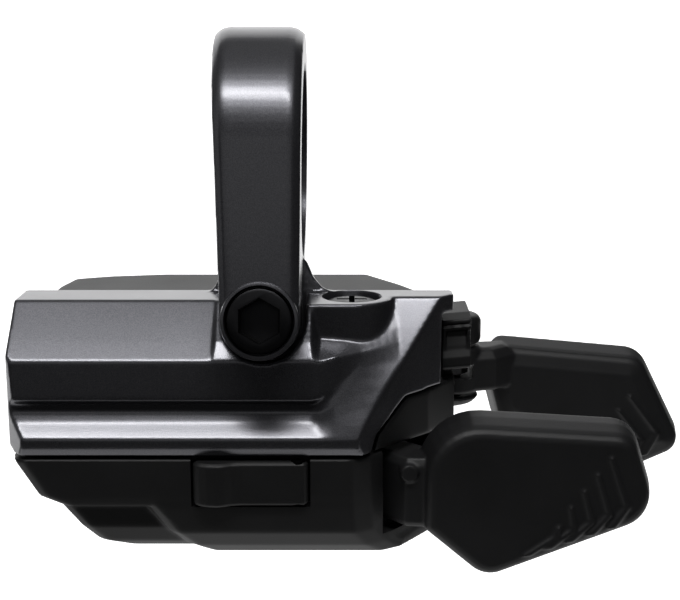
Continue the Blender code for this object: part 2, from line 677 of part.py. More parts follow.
# Corners of the paddles (x, z, corner radius)
MAIN_PADDLE = [(17.9, -26.6, 3.8), (41.2, -28.0, 2.4), (44.3, -37.9, 3.2), (25.0, -45.5, 3.5),
               (17.9, -39.5, 1.5)]
RELEASE_PADDLE = [(29.0, -24.6, 1.2), (47.9, -26.3, 2.2), (54.2, -38.7, 2.4), (46.5, -42.2, 3.5),
                  (29.2, -35.2, 2.0), (27.8, -30.0, 1.0)]


def main_paddle():
    paddle = slab("main_lever_paddle", rounded(MAIN_PADDLE), -15.2, -9.6, "black_plastic", edge=1.2)
    angle = radians(-50.5)
    start = Vector(polar(AXLE, 13.6, angle))
    side = Vector((-sin(angle), cos(angle))) * 2.4
    outline = [tuple(start - side), (16.6, -14.2), (20.0, -14.6), (20.0, -10.2), tuple(start + side)]
    arm = plate("main_arm", outline, -40.0, -32.3)
    join(paddle, arm)
    return paddle


def release_lever():
    """The second lever: its own pivot, a steel tail inside and the far paddle outside."""
    paddle = slab("release_lever_paddle", rounded(RELEASE_PADDLE), 11.4, 16.6, "black_plastic", edge=1.2)
    hub = cylinder("release_hub", 3.6, *RELEASE_ARM, RELEASE_PIVOT)
    arm = plate("release_arm", [(RELEASE_PIVOT[0], 8.4), (26.4, 8.8), (31.0, 12.2), (31.0, 15.8),
                                (27.0, 15.4), (RELEASE_PIVOT[0], 14.0)], *RELEASE_ARM)
    join(paddle, hub, arm)
    pin_hole = cylinder("release_hub_bore", 1.3, -36, -20, RELEASE_PIVOT, sides=24)
    x, y = RELEASE_PIVOT
    room = box("tail_room", (x - 8, y - 8, RELEASE_PLATE[0] - GAP), (x + 2.4, y + 8, RELEASE_PLATE[1] + GAP))
    cut(paddle, pin_hole, room)
    tail = [(14.8, 12.0), (15.2, 10.9), (x - 1.0, 9.0)] + arc(RELEASE_PIVOT, 2.0, -80, 80, 8)
    tail += [(x - 1.0, 13.0), (15.2, 12.6)]
    steel = plate("release_lever_plate", tail, *RELEASE_PLATE, "plated_steel")
    steel_bore = cylinder("release_plate_bore", 1.3, -36, -20, RELEASE_PIVOT, sides=24)
    cut(steel, steel_bore)
    cylinder("release_lever_pin", 1.0, -32.4, -21.9, RELEASE_PIVOT, "plated_steel", sides=24)
    pivot("release_lever_axis", (x, y, RELEASE_ARM[1]), paddle, steel)
    tip = (15.4, 10.4)
    hold = pawl("hold_pawl", HOLD_PAWL_PIVOT, tip, RATCHET)
    pivot("hold_pawl_axis", (*HOLD_PAWL_PIVOT, RATCHET[1]), hold)
    cylinder("hold_pawl_pin", 0.7, RATCHET[0] - 4.8, RATCHET[1] + 6.6, HOLD_PAWL_PIVOT, "plated_steel",
             sides=20)


def cable_parts():
    """The barrel adjuster that meets the outer cable, its insert and its detent spring."""
    y, z = ADJUSTER
    profile = [(1.3, 0.0), (3.9, 0.0), (4.3, -0.5), (4.3, -5.0), (3.0, -5.6), (3.0, -6.4), (1.3, -6.4)]
    barrel = turned("barrel_adjuster", profile, (0, 0), "black_plastic", steps=24)
    insert = turned("adjuster_insert", [(1.3, -6.8), (2.6, -6.8), (2.6, -13.0), (1.3, -13.0)],
                    (0, 0), "brass_insert", steps=24)
    for piece in (barrel, insert):
        piece.rotation_euler = (0, radians(-90), 0)
        piece.location = (-33.4 * MM, y * MM, z * MM)
    pivot("adjuster_axis", (-33.4, y, z), barrel)


clamp_bracket()
clamp_bolt()
clamp_nut()
bracket_screw()
upper_housing()
base_housing()
base_screws()
lever_guide()
cable_port_flap()
axle_parts()
support_plates()
drum_parts()
main_lever()
release_lever()
cable_parts()
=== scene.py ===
# %% [markdown]
# # A bicycle thumb shifter
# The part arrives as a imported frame: plain solids on their bodies, in metres, at their real places.
# This lesson keeps the small inner pieces and gives them better finishes, and models the castings,
# the mouldings and the paddles again with the soft edges that die casting and moulding leave.
# The origin is the centre of the handlebar bore, +Y points away from the rider and +Z points up.

# %% Load the frame
from math import cos, pi, radians, sin, tan

import bpy
from mathutils import Matrix, Vector


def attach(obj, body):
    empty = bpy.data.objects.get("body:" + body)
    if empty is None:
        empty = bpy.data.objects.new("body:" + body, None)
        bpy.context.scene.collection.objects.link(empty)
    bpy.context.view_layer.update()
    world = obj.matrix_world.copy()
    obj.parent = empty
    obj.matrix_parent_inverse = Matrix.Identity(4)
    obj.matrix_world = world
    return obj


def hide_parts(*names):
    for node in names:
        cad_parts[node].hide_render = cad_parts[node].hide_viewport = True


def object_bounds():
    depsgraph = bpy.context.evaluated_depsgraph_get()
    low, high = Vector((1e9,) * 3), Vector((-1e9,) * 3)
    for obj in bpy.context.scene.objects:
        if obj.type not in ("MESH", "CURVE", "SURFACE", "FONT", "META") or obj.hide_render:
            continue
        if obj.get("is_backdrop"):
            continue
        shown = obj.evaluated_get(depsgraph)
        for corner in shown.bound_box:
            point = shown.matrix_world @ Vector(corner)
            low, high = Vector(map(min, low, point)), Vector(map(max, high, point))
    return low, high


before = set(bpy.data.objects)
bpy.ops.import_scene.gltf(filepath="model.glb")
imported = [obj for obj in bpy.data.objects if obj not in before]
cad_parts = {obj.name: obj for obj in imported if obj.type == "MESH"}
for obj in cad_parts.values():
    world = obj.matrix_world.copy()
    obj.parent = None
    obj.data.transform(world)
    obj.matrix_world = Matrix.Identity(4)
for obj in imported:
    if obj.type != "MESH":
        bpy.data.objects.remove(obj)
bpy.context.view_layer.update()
MM = 0.001

# %% [markdown]
# ## The camera and the light
# A small dark object reads by what it reflects. A long lamp high in front draws the bright band on the
# clamp ring, a wide dim lamp overhead greys the sloping faces, and the pale wall behind lights the top
# faces at a grazing angle. The front stays dark, so the upright faces stay dark as well. Two weak cards
# at the front and the left keep them from going black, and one below lightens the bevels underneath.

# %% Camera
LOOK_DOWN = 12
LENS = 69.1
camera_data = bpy.data.cameras.new("camera")
camera_data.lens = LENS
camera_data.clip_start = 0.01
camera = bpy.data.objects.new("camera", camera_data)
bpy.context.scene.collection.objects.link(camera)
camera.location = (0.00897, -0.15007, 0.01544)
camera.rotation_euler = (radians(90 - LOOK_DOWN), 0, 0)
bpy.context.scene.camera = camera
bpy.context.scene.view_settings.view_transform = "Standard"


# %% Lamps
def lamp(name, place, target, size, power):
    """A rectangular area lamp that faces a target."""
    data = bpy.data.lights.new(name, "AREA")
    data.shape = "RECTANGLE"
    data.size, data.size_y = size
    data.energy = power
    made = bpy.data.objects.new(name, data)
    bpy.context.scene.collection.objects.link(made)
    made.location = place
    made.rotation_euler = (Vector(target) - Vector(place)).to_track_quat("-Z", "Y").to_euler()
    return made


lamp("front_strip", (-0.02, -0.19, 0.375), (0, 0, 0), (0.40, 0.05), 1.5)
lamp("overhead", (0.05, 0.02, 0.50), (0, 0, 0), (0.60, 0.40), 0.15)
lamp("horizon_card", (-0.05, -0.60, 0.20), (0, 0, 0), (1.0, 0.16), 0.16)
lamp("left_card", (-0.45, -0.10, 0.20), (0, 0, 0), (0.22, 0.45), 0.08)
lamp("under_card", (0.0, 0.0, -0.10), (0, 0, 0), (0.30, 0.12), 0.10)

world = bpy.data.worlds.new("studio")
world.use_nodes = True
world.node_tree.nodes["Background"].inputs["Color"].default_value = (0.86, 0.87, 0.90, 1)
world.node_tree.nodes["Background"].inputs["Strength"].default_value = 0.03
bpy.context.scene.world = world

# %% [markdown]
# ## Shader maths
# One small class wraps a socket, so that a material reads as the formula that it is.


# %% The class
class Shade:
    """A socket of a material's tree that takes part in sums and products."""

    def __init__(self, tree, socket):
        self.tree, self.socket = tree, socket

    def node(self, kind, settings=None, **inputs):
        """Add a node, set its settings, then its sockets, and return its first output."""
        made = self.tree.nodes.new(kind)
        for name, value in (settings or {}).items():
            setattr(made, name, value)
        for name, value in inputs.items():
            key = int(name[1:]) if name[0] == "_" else name.replace("_", " ")
            self.feed(made.inputs[key], value)
        return Shade(self.tree, made.outputs[0])

    def feed(self, socket, value):
        if isinstance(value, Shade):
            self.tree.links.new(value.socket, socket)
        else:
            socket.default_value = value

    def math(self, operation, first, second):
        return self.node("ShaderNodeMath", {"operation": operation}, _0=first, _1=second)

    def __add__(self, other):
        return self.math("ADD", self, other)

    def __radd__(self, other):
        return self.math("ADD", other, self)

    def __sub__(self, other):
        return self.math("SUBTRACT", self, other)

    def __rsub__(self, other):
        return self.math("SUBTRACT", other, self)

    def __mul__(self, other):
        return self.math("MULTIPLY", self, other)

    def __rmul__(self, other):
        return self.math("MULTIPLY", other, self)

    def noise(self, size_mm, detail=2.0):
        """Noise whose grains are about so many millimetres wide."""
        return self.node("ShaderNodeTexNoise", Vector=self, Scale=1 / (size_mm * MM), Detail=detail)

    def ramp(self, low, high):
        """Spread a value between two limits over 0 to 1."""
        return self.node("ShaderNodeMapRange", _0=self, _1=low, _2=high, _3=0.0, _4=1.0)

    def mix(self, first, second):
        """Mix two colours by this value."""
        made = self.tree.nodes.new("ShaderNodeMix")
        made.data_type = "RGBA"
        self.feed(made.inputs[0], self)
        self.feed(made.inputs[6], first)
        self.feed(made.inputs[7], second)
        return Shade(self.tree, made.outputs[2])

    def bump(self, height_mm, strength=1.0):
        """A normal from this height."""
        return self.node("ShaderNodeBump", Strength=strength, Distance=height_mm * MM, Height=self)


def finish_of(name, base, roughness, metallic=0.0, coat=0.0, coat_roughness=0.1, specular=0.5):
    """A Principled material with its plain values, and its object coordinates to build on."""
    material = bpy.data.materials.new(name)
    material.use_nodes = True
    tree = material.node_tree
    shader = tree.nodes["Principled BSDF"]
    shader.inputs["Base Color"].default_value = (*base, 1)
    shader.inputs["Roughness"].default_value = roughness
    shader.inputs["Metallic"].default_value = metallic
    shader.inputs["Coat Weight"].default_value = coat
    shader.inputs["Coat Roughness"].default_value = coat_roughness
    shader.inputs["Specular IOR Level"].default_value = specular
    coordinates = tree.nodes.new("ShaderNodeTexCoord")
    return material, shader, Shade(tree, coordinates.outputs["Object"])


# %% [markdown]
# ## Finishes
# The casting is sprayed with a dark metallic paint: fine flakes vary its colour a little, and the film
# has a fine orange peel. The mouldings are fibre-filled nylon from a spark-eroded mould, so they have a
# fine grain and a broad, weak shine.


# %% Painted casting
def metallic_paint():
    material, shader, place = finish_of("metallic_paint", (0.10, 0.10, 0.11), 0.32, 0.85, 0.35, 0.16)
    flakes = place.noise(0.10, 1.0).ramp(0.35, 0.68)
    clouds = place.noise(9.0, 3.0)
    colour = flakes.mix((0.080, 0.080, 0.089, 1), (0.118, 0.118, 0.128, 1))
    place.feed(shader.inputs["Base Color"], colour)
    place.feed(shader.inputs["Roughness"], 0.25 + clouds * 0.07 + flakes * 0.05)
    peel = place.noise(0.45, 2.0)
    place.feed(shader.inputs["Normal"], peel.bump(0.006, 0.5))
    return material


# %% Moulded plastics
def moulded(name, base, roughness, grain=0.14, depth=0.012, sheen=0.45):
    """Black moulded plastic with a spark-eroded grain."""
    material, shader, place = finish_of(name, base, roughness, specular=sheen)
    fine = place.noise(grain, 2.0)
    broad = place.noise(7.0, 3.0)
    lighter = tuple(value * 1.35 for value in base) + (1,)
    place.feed(shader.inputs["Base Color"], broad.ramp(0.3, 0.75).mix((*base, 1), lighter))
    place.feed(shader.inputs["Roughness"], (roughness - 0.06) + broad * 0.07 + fine * 0.06)
    place.feed(shader.inputs["Normal"], fine.bump(depth, 0.6))
    return material


# %% Metals
def turned_metal(name, base, roughness, streak=0.06):
    """Plated or blackened steel with faint marks from its making."""
    material, shader, place = finish_of(name, base, roughness, 1.0)
    marks = place.noise(0.22, 4.0)
    broad = place.noise(3.0, 2.0)
    darker = tuple(value * 0.75 for value in base) + (1,)
    place.feed(shader.inputs["Base Color"], broad.ramp(0.3, 0.7).mix((*base, 1), darker))
    place.feed(shader.inputs["Roughness"], (roughness - streak / 2) + marks * streak * 2)
    place.feed(shader.inputs["Normal"], marks.bump(0.004, 0.4))
    return material


FINISHES = {
    "metallic_paint": metallic_paint(),
    "housing_plastic": moulded("housing_plastic", (0.0075, 0.0075, 0.0078), 0.50, sheen=0.32),
    "lever_plastic": moulded("lever_plastic", (0.0075, 0.0075, 0.0080), 0.50, 0.17, 0.016, sheen=0.34),
    "drum_plastic": moulded("drum_plastic", (0.014, 0.014, 0.015), 0.36),
    "natural_acetal": moulded("natural_acetal", (0.62, 0.60, 0.54), 0.38),
    "black_steel": turned_metal("black_steel", (0.030, 0.030, 0.032), 0.34),
    "plated_steel": turned_metal("plated_steel", (0.56, 0.56, 0.57), 0.30),
    "spring_steel": turned_metal("spring_steel", (0.36, 0.36, 0.37), 0.26),
    "brass": turned_metal("brass", (0.62, 0.46, 0.20), 0.28),
}

# %% Finishes of the kept inner pieces
KEPT = {
    "plated_steel": ["clamp_nut", "main_axle", "axle_nut", "top_plate", "lower_plate", "ratchet_plate",
                     "main_lever_plate", "drive_pawl_pin", "drive_pawl", "release_lever_plate",
                     "release_lever_pin", "hold_pawl", "hold_pawl_pin"],
    "spring_steel": ["spring_washer", "drum_spring", "main_lever_spring"],
    "natural_acetal": ["drum_bush"],
    "drum_plastic": ["cable_drum"],
    "brass": ["adjuster_insert"],
    "black_steel": ["base_screw_1", "base_screw_2", "base_screw_3"],
}
for finish, nodes in KEPT.items():
    for node in nodes:
        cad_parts[node].data.materials.clear()
        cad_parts[node].data.materials.append(FINISHES[finish])

# %% [markdown]
# ## Tools for castings
# A casting is one body that flows from wall to rib. Each region is drawn as an outline, extruded through
# its sections, and laid into its neighbours. A voxel remesh then makes one skin of them all, a few rounds
# of smoothing soften every edge as a mould does, and the machined holes are cut last, so they stay crisp.


# %% Outlines and solids
def select_only(*objects):
    bpy.ops.object.select_all(action="DESELECT")
    for obj in objects:
        obj.select_set(True)
    bpy.context.view_layer.objects.active = objects[0]


def move_onto(obj, numbers, points):
    for number, point in zip(numbers, points):
        obj.data.vertices[number].co = Vector(point) * MM


def solid(name, sections):
    """A closed body through sections of equally many points, in millimetres."""
    step = Vector((0.5, 0.5, 0.5))
    bpy.ops.object.select_all(action="DESELECT")
    bpy.ops.mesh.primitive_circle_add(vertices=len(sections[0]), radius=MM, fill_type="NGON")
    obj = bpy.context.object
    obj.name = name
    numbers = list(range(len(sections[0])))
    move_onto(obj, numbers, sections[0])
    for section in sections[1:]:
        before = [obj.data.vertices[number].co.copy() for number in numbers]
        bpy.ops.object.mode_set(mode="EDIT")
        bpy.ops.mesh.extrude_region_move(TRANSFORM_OT_translate={"value": step})
        bpy.ops.object.mode_set(mode="OBJECT")
        fresh = {vertex.index: vertex.co - step for vertex in obj.data.vertices if vertex.select}
        numbers = [min(fresh, key=lambda index: (fresh[index] - place).length) for place in before]
        move_onto(obj, numbers, section)
    bpy.ops.object.mode_set(mode="EDIT")
    bpy.ops.mesh.select_all(action="SELECT")
    bpy.ops.mesh.quads_convert_to_tris()
    bpy.ops.mesh.normals_make_consistent(inside=False)
    bpy.ops.object.mode_set(mode="OBJECT")
    return obj


def rounded(corners, steps=8):
    """An outline from (across, up, radius) corners, each corner an arc."""
    outline = []
    for i, corner in enumerate(corners):
        here, radius = Vector(corner[:2]), corner[2]
        back = (Vector(corners[i - 1][:2]) - here).normalized()
        on = (Vector(corners[(i + 1) % len(corners)][:2]) - here).normalized()
        half = back.angle(on) / 2
        middle = here + (back + on).normalized() * (radius / sin(half))
        first = here + back * (radius / tan(half)) - middle
        sweep = first.angle_signed(here + on * (radius / tan(half)) - middle)
        turns = [Matrix.Rotation(-sweep * step / steps, 2) for step in range(steps + 1)]
        outline += [tuple(middle + turn_by @ first) for turn_by in turns]
    return outline


def arc(centre, radius, start, end, steps=8):
    turns = [radians(start + (end - start) * i / steps) for i in range(steps + 1)]
    return [(centre[0] + radius * cos(a), centre[1] + radius * sin(a)) for a in turns]


def inset(outline, distance):
    """A counter-clockwise outline drawn in by a distance."""
    moved = []
    for i, point in enumerate(outline):
        here = Vector(point)
        first = (here - Vector(outline[i - 1])).normalized()
        second = (Vector(outline[(i + 1) % len(outline)]) - here).normalized()
        left = Vector((-first.y, first.x))
        middle = (left + Vector((-second.y, second.x))).normalized()
        moved.append(here + middle * (distance / max(middle.dot(left), 0.5)))
    return moved


def plan(name, outline, *levels):
    """An outline in plan through (height, inset) levels."""
    return solid(name, [[(p[0], p[1], z) for p in inset(outline, draw)] for z, draw in levels])


def curtain(name, outline, *levels):
    """An outline in x and z through (y, inset) levels."""
    return solid(name, [[(p[0], y, p[1]) for p in inset(outline, draw)] for y, draw in levels])


def block(name, low, high):
    corners = [(low[0], low[1]), (high[0], low[1]), (high[0], high[1]), (low[0], high[1])]
    return plan(name, corners, (low[2], 0), (high[2], 0))


def turned(name, profile, centre=(0, 0), sides=64):
    """A round body about an upright line from (radius, height) points, bottom first."""
    return solid(name, [[(*p, z) for p in arc(centre, max(r, 0.01), 0, 360 - 360 / sides, sides - 1)]
                        for r, z in profile])


# %% Turning, leaning, cutting and casting
LEAN = Matrix.Rotation(radians(-12), 4, "X")
FORWARD = Matrix.Rotation(radians(-90), 4, "X")
OUTBOARD = Matrix.Rotation(radians(90), 4, "Y")


def turn(obj, *turns):
    for matrix in turns:
        obj.data.transform(matrix)
    return obj


def about_bolt(obj):
    """Lay an upright piece, made about the Z axis, on the clamp bolt's leaning axis."""
    return turn(obj, FORWARD, Matrix.Translation((0.6 * MM, 0, -18.3 * MM)), LEAN)


def boolean(target, tool, operation):
    select_only(target)
    step = target.modifiers.new("step", "BOOLEAN")
    step.operation, step.solver, step.object = operation, "EXACT", tool
    bpy.ops.object.modifier_apply(modifier="step")
    bpy.data.objects.remove(tool)


def cut(target, *tools):
    for tool in tools:
        boolean(target, tool, "DIFFERENCE")
    return target


def halve(obj, point, normal):
    """Cut a body by a plane and keep the side that the normal points away from."""
    select_only(obj)
    bpy.ops.object.mode_set(mode="EDIT")
    bpy.ops.mesh.select_all(action="SELECT")
    bpy.ops.mesh.bisect(plane_co=Vector(point) * MM, plane_no=normal, use_fill=True, clear_outer=True)
    bpy.ops.object.mode_set(mode="OBJECT")
    return obj


def together(name, *solids):
    select_only(*solids)
    bpy.ops.object.join()
    solids[0].name = solids[0].data.name = name
    return solids[0]


def cast(obj, voxel=0.25, rounds=8, faces=120000):
    """One skin over all the bodies of an object, its edges softened."""
    select_only(obj)
    skin = obj.modifiers.new("skin", "REMESH")
    skin.mode, skin.voxel_size = "VOXEL", voxel * MM
    soften = obj.modifiers.new("soften", "SMOOTH")
    soften.factor, soften.iterations = 0.5, rounds
    for step in ("skin", "soften"):
        bpy.ops.object.modifier_apply(modifier=step)
    count = len(obj.data.polygons) * 2
    if count > faces:
        thin = obj.modifiers.new("thin", "DECIMATE")
        thin.ratio = faces / count
        bpy.ops.object.modifier_apply(modifier="thin")
    print(obj.name, "cast from", count, "triangles, now", len(obj.data.polygons), "faces")
    return obj


def done(obj, finish, body, slot, *nodes, angle=35):
    """Shade a finished piece, give it its material, attach it to its body and hide the frame's pieces that
    it stands for.
    """
    select_only(obj)
    bpy.ops.object.shade_smooth_by_angle(angle=radians(angle))
    obj.data.materials.clear()
    obj.data.materials.append(FINISHES[finish])
    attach(obj, body)
    if nodes:
        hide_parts(*nodes)
    size = [round(value / MM, 1) for value in obj.dimensions]
    print(obj.name, size, "mm,", len(obj.data.polygons), "faces")
    return obj


# %% [markdown]
# ## The cover and its clamp ring
# One die casting covers the mechanism and grips the bar. Left of the ring its front is a bevel over an
# upright face, with a cove and a flared lip along the seam. Right of the ring the screw has a turret with
# a ledge below it, and from there the front falls away to a slanting side face.

# %% Front profiles, from the top face down to the seam
NOSE = [(-15.98, -28.5), (-15.9, -29.4), (-15.4, -30.5), (-2.4, -30.5)]
COVE = [(-13.8, -25.1), (-13.8, -26.0), (-14.4, -26.9), (-15.3, -27.8)]


def front(top_edge, bevel_foot, crest, face_foot, cove):
    """The profile of one station: top face, bevel, face, cove and the flared nose."""
    return [(-2.4, -14.7), (top_edge, -14.7), bevel_foot, crest, face_foot] + cove + NOSE


LEFT_FRONT = front(-8.2, (-12.2, -18.55), (-14.0, -20.3), (-14.5, -24.5), COVE)
CHEEK_FRONT = front(-8.5, (-12.6, -18.4), (-14.1, -20.2), (-14.5, -24.5), COVE)
LEDGE_FRONT = front(-7.6, (-10.9, -18.6), (-13.9, -20.3), (-14.4, -24.2),
                    [(-14.0, -24.9), (-14.05, -25.9), (-14.5, -26.8), (-15.3, -27.8)])
SWEEP_1 = front(-7.2, (-11.0, -18.8), (-13.3, -20.0), (-13.6, -23.2),
                [(-13.75, -24.0), (-14.2, -25.2), (-14.75, -26.3), (-15.4, -27.5)])
SWEEP_2 = front(-6.6, (-10.2, -18.5), (-11.6, -19.8), (-12.2, -21.3),
                [(-12.75, -22.5), (-13.5, -24.0), (-14.3, -25.5), (-15.25, -27.1)])
RIGHT_FRONT = front(-6.4, (-8.6, -17.75), (-9.6, -19.15), (-10.8, -20.85),
                    [(-12.0, -22.5), (-13.1, -24.05), (-14.2, -25.6), (-15.3, -27.1)])
RIGHT_CHEEK = front(-10.6, (-12.7, -18.3), (-14.1, -20.2), (-14.5, -24.5), COVE)


def between(first, second, steps=5):
    """Stations from the first up to the second, both of them (x, profile), evenly spaced."""
    made = []
    for i in range(steps):
        share = i / steps
        profile = [tuple(Vector(a).lerp(Vector(b), share)) for a, b in zip(first[1], second[1])]
        made.append((first[0] + (second[0] - first[0]) * share, profile))
    return made


KEY_STATIONS = [(5.9, RIGHT_CHEEK), (6.7, LEDGE_FRONT), (8.4, SWEEP_1), (11.3, SWEEP_2), (15.6, RIGHT_FRONT)]
STATIONS = [(-27.3, LEFT_FRONT), (-4.9, LEFT_FRONT), (-4.6, CHEEK_FRONT), (0.6, CHEEK_FRONT),
            (5.2, RIGHT_CHEEK)]
for first, second in zip(KEY_STATIONS, KEY_STATIONS[1:]):
    STATIONS += between(first, second)
STATIONS += [(15.6, RIGHT_FRONT), (21.9, RIGHT_FRONT)]
SIDE_POINT, SIDE_NORMAL = (10.85, -16.0, -28.0), (0.707, -0.707, 0)
SIDE_SEAM = [(12.3, -30.6), (12.9, -28.6), (16.1, -25.2), (26.0, -24.4)]


# %% The ring with its ear
SCREW_PLACE = (10.3, -6.2)


def ring_and_ear():
    """The ring's outline in y and z, with the ear for the bolt, tapered towards the bolt."""
    outline = arc((0, 0), 15.0, 264, 540, 90) + [(-15.0, -22.4), (-1.55, -22.4)]
    layers = [(-0.5, 0.75), (-0.42, 0.2), (-0.34, 0), (0.34, 0), (0.42, 0.2), (0.5, 0.75)]
    sections = []
    for side, draw in layers:
        section = []
        for y, z in inset(outline, draw):
            fall = min((15.0 - z) / 30, 1)
            section.append((0.6 * fall + side * (10.1 - 1.9 * fall), y, z))
        sections.append(section)
    ring = solid("ring", sections)
    rounding = arc((0.6, -18.3), 4.1, 180, 360, 32)
    lower_corners = [(-9, -26), (-9, -18.3)] + rounding + [(11, -18.3), (11, -26)]
    cut(ring, curtain("ear_corners", lower_corners, (-20, 0), (-1, 0)))
    return turn(ring, LEAN)


def far_leg():
    """The ring's far leg, flaring where it runs out into the top face."""
    sections = []
    for z, left, right, front, back in ((-23.0, -4.8, 5.6, -0.7, 5.0), (-16.2, -4.8, 5.6, -0.7, 5.2),
                                        (-15.3, -6.2, 8.6, -0.7, 4.4), (-14.6, -5.4, 6.9, -0.7, 4.6),
                                        (-13.4, -4.8, 5.9, -0.7, 5.2), (-11.5, -4.4, 5.1, -0.7, 6.0)):
        sections.append([(left, front, z), (right, front, z), (right, back, z), (left, back, z)])
    return turn(solid("far_leg", sections), LEAN)


# %% The cast body
def cover_body():
    cover = solid("cover", [[(x, y, z) for y, z in profile] for x, profile in STATIONS])
    halve(cover, SIDE_POINT, SIDE_NORMAL)
    halve(cover, (-27.3, -13.3, -20.0), (-0.80, -0.60, 0))
    halve(cover, (-26.6, -14.0, -30.5), (-0.75, -0.10, -0.65))
    below = SIDE_SEAM + [(26, -34), (12.3, -34)]
    overhang = block("overhang", (20.5, -14, -34), (24, 0, -16.6))
    socket = [(-4.05, -9)] + arc((0.6, -18.3), 4.65, 180, 360, 24) + [(5.25, -9)]
    notch = turn(curtain("notch", socket, (-22, 0), (-0.7, 0)), LEAN)
    cut(cover, curtain("below_side_seam", below, (-22, 0), (0, 0)), overhang, notch)
    turret = arc(SCREW_PLACE, 4.6, -90, 0, 12) + [(14.9, -2.4), (4.5, -2.4), (4.5, -10.8)]
    turret = plan("turret", turret, (-20.5, 0.3), (-19.0, 0.1), (-14.7, 0))
    cut(turret, turn(curtain("turret_notch", socket, (-22, 0), (-0.7, 0)), LEAN))
    cover = together("clamp_cover", cover, turret, ring_and_ear(), far_leg())
    return cast(cover, 0.2, 7, 160000)


def machined_cutters():
    """The holes cut after casting: the bar's bore, the split, and the seats of both screws."""
    bore = turn(turned("bore", [(12.0, -6.2), (11.1, -4.6), (11.1, 5.0), (12.0, 6.6)], sides=128),
                OUTBOARD, LEAN)
    split = turn(block("split", (-4.7, -1.5, -22.95), (5.9, -0.75, -9)), LEAN)
    seat_profile = [(4.0, -16.5), (3.62, -14.95), (3.62, -12.6), (2.5, -12.5), (2.5, 9.0)]
    seat = about_bolt(turned("seat", seat_profile))
    screw = turned("screw_seat", [(1.8, -23), (1.8, -17.0), (3.2, -16.9), (3.2, -15.0), (3.6, -14.4),
                                  (3.6, -13)], SCREW_PLACE, 48)
    return [bore, split, seat, screw]


def cover_hollow():
    """The inside, in three rooms that leave solid metal round the bolt and the screw."""
    left = solid("left_room", [[(x, y, z) for y, z in (
        (0, -16.4), (-7.4, -16.4), (-12.3, -21.0), (-12.2, -26.0), (0, -26.0))] for x in (-25.7, -7.0)])
    right = block("right_room", (14.6, -5.2, -26.0), (18.8, 0, -16.5))
    low = block("low_room", (-25.6, -12.1, -33), (18.6, 0, -25.0))
    for room in (right, low):
        halve(room, (SIDE_POINT[0] - 1.1, SIDE_POINT[1] + 1.3, SIDE_POINT[2]), SIDE_NORMAL)
    return [left, right, low]


def clamp_cover():
    cover = cover_body()
    lip = about_bolt(turned("lip", [(3.75, -15.35), (4.02, -15.25), (4.12, -15.0), (4.12, -13.5)]))
    boolean(cover, lip, "UNION")
    cut(cover, *machined_cutters(), *cover_hollow())
    return done(cover, "metallic_paint", "housing", "grey_paint", "clamp_bracket", angle=40)


clamp_cover()

# %% [markdown]
# ## The bolts
# The clamp bolt is a blackened steel cap screw with a 4 mm socket. The socket's mouth has a small
# chamfer, which catches the light at its lower edges.


# %% Clamp bolt and cover screw
def hexagon(across, z):
    radius = across / 2 / cos(pi / 6)
    return [(radius * cos(a), radius * sin(a), z) for a in [pi / 2 + pi / 3 * i for i in range(6)]]


def clamp_bolt():
    bolt = turned("clamp_screw", [(3.1, -15.3), (3.34, -15.2), (3.46, -14.9), (3.46, -12.9),
                                  (2.2, -12.8), (2.2, 4.7), (1.8, 5.0)], sides=72)
    socket = solid("socket", [hexagon(4.7, -15.6), hexagon(4.0, -15.1), hexagon(4.0, -12.9)])
    cut(bolt, socket)
    done(about_bolt(bolt), "black_steel", "housing", "black_steel", "clamp_bolt", angle=25)


def cover_screw():
    x, y = SCREW_PLACE
    screw = turned("cover_screw", [(1.4, -21.5), (1.4, -16.8), (2.95, -16.7), (2.95, -15.6), (2.6, -15.2),
                                   (1.6, -15.0)], (x, y), 48)
    for spread in ((1.7, 0.32), (0.32, 1.7)):
        low, high = (x - spread[0], y - spread[1], -16.0), (x + spread[0], y + spread[1], -14)
        cut(screw, block("cross", low, high))
    done(screw, "black_steel", "housing", "black_steel", "bracket_screw", angle=25)


clamp_bolt()
cover_screw()

# %% [markdown]
# ## The upper housing
# A black moulding closes the back of the cover. A skirt of it shows on the right, flush with the cover's
# side face, and a lug caps the release lever's pivot.

# %% Upper housing
PIVOT = (23.3, 11.0)


